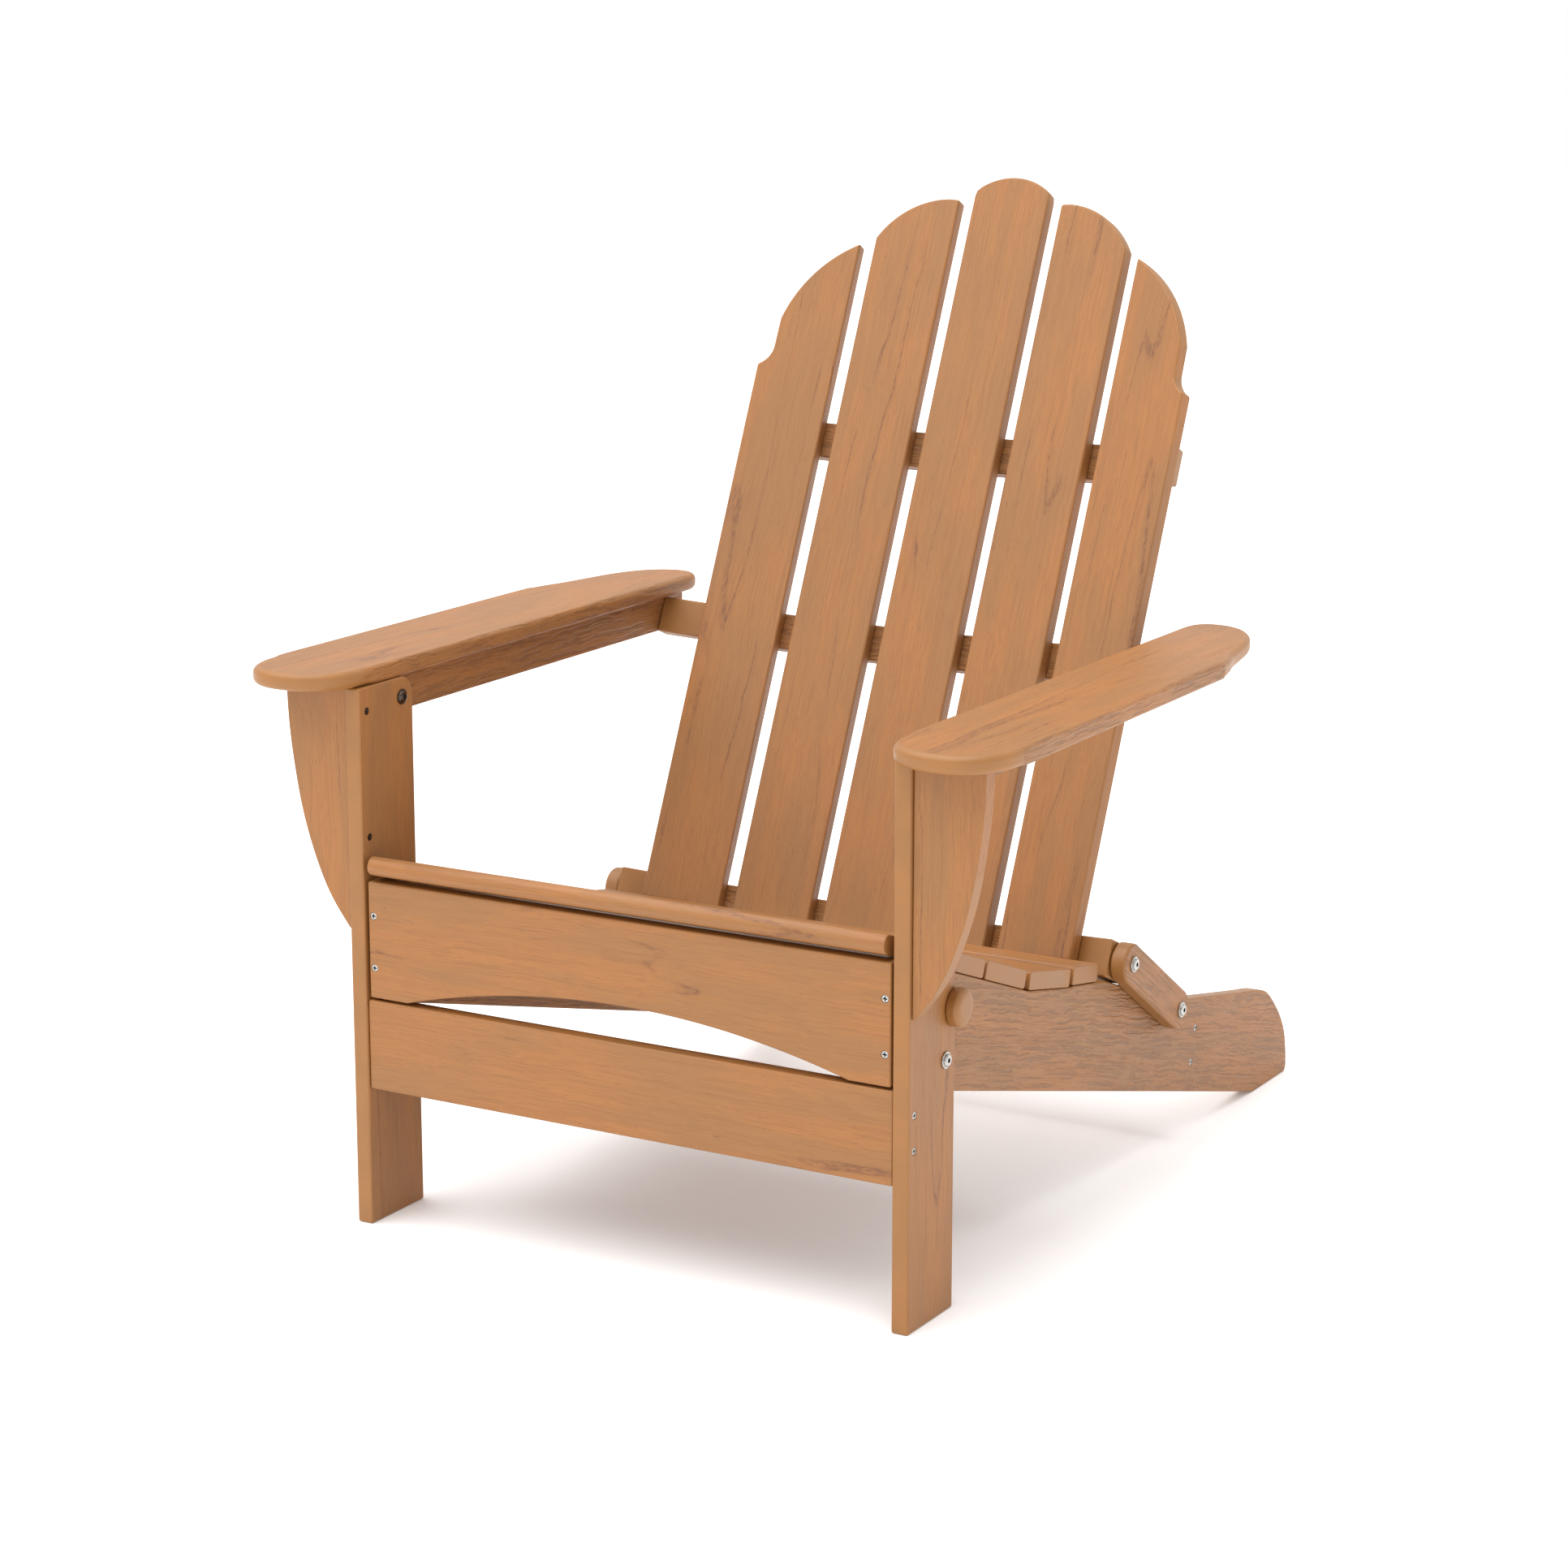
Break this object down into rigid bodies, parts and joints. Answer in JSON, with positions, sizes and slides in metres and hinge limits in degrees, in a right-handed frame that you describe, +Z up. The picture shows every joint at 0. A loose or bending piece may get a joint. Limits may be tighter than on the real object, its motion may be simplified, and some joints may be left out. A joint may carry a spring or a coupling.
{
  "type": "adirondack chair",
  "caption": "Folding adirondack chair in wood-look plastic lumber: fanned slat back on curved bars, raked seat, broad arms, hinged front legs.",
  "frame": {"origin": "middle of the footprint on the floor", "axes": "+Z up, +Y from the front legs to the back, +X across the chair"},
  "size_m": [0.8036, 0.9524, 0.9662],
  "materials": {
    "lumber": "wood-grain embossed plastic lumber, tan orange",
    "lumber_cut": "smooth routed plastic lumber, tan orange",
    "steel": "stainless steel fasteners",
    "dark_steel": "darkened steel fasteners"
  },
  "bodies": {
    "seat_frame": {"apron": "lumber", "apron_screw_left_lower": "steel", "apron_screw_left_upper": "steel", "apron_screw_right_lower": "steel", "apron_screw_right_upper": "steel", "rear_stretcher": "lumber", "rear_stretcher_screw_left_lower": "steel", "rear_stretcher_screw_left_upper": "steel", "rear_stretcher_screw_right_lower": "steel", "rear_stretcher_screw_right_upper": "steel", "seat_slat_1": "lumber", "seat_slat_2": "lumber", "seat_slat_3": "lumber", "seat_slat_4": "lumber", "seat_slat_5": "lumber", "side_rail_left": "lumber", "side_rail_right": "lumber", "stop_knob_left": "lumber_cut", "stop_knob_right": "lumber_cut"},
    "front_legs": {"arm_bracket_left": "lumber", "arm_bracket_right": "lumber", "bracket_screw_left_lower": "dark_steel", "bracket_screw_left_upper": "dark_steel", "bracket_screw_right_lower": "dark_steel", "bracket_screw_right_upper": "dark_steel", "front_leg_left": "lumber", "front_leg_right": "lumber", "front_stretcher": "lumber", "front_stretcher_screw_left_lower": "steel", "front_stretcher_screw_left_upper": "steel", "front_stretcher_screw_right_lower": "steel", "front_stretcher_screw_right_upper": "steel", "leg_pivot_bolt_left": "steel", "leg_pivot_bolt_right": "steel", "leg_top_nut_left": "dark_steel", "leg_top_nut_right": "dark_steel"},
    "links": {"link_left": "lumber", "link_lower_bolt_left": "steel", "link_lower_bolt_right": "steel", "link_right": "lumber", "link_upper_bolt_left": "steel", "link_upper_bolt_right": "steel"},
    "back": {"back_bar_lower": "lumber", "back_bar_middle": "lumber", "back_bar_upper": "lumber", "back_slat_1": "lumber", "back_slat_2": "lumber", "back_slat_3": "lumber", "back_slat_4": "lumber", "back_slat_5": "lumber"},
    "arms": {"arm_front_bolt_left": "steel", "arm_front_bolt_right": "steel", "arm_left": "lumber", "arm_rail_left": "lumber", "arm_rail_right": "lumber", "arm_rear_bolt_left": "steel", "arm_rear_bolt_right": "steel", "arm_right": "lumber"}
  },
  "joints": [
    {"name": "back_fold", "type": "hinge", "parent": "links", "child": "back", "pos_m": [0, 0.03465, 0.23142], "axis": [1, 0, 0], "range_deg": [0, 134.71]},
    {"name": "link_fold", "type": "hinge", "parent": "seat_frame", "child": "links", "pos_m": [0, 0.1512, 0.155], "axis": [1, 0, 0], "range_deg": [-48.72, 0]},
    {"name": "leg_fold", "type": "hinge", "parent": "seat_frame", "child": "front_legs", "pos_m": [0, -0.3623, 0.24], "axis": [1, 0, 0], "range_deg": [0, 76.01]},
    {"name": "arm_fold", "type": "hinge", "parent": "back", "child": "arms", "pos_m": [0, 0.13948, 0.50612], "axis": [1, 0, 0], "range_deg": [-72.74, 0]}
  ],
  "couplings": [
    {"joint": "link_fold", "follows": "back_fold", "ratio": -0.36158},
    {"joint": "leg_fold", "follows": "back_fold", "ratio": 0.56418},
    {"joint": "arm_fold", "follows": "back_fold", "ratio": -0.5399}
  ]
}
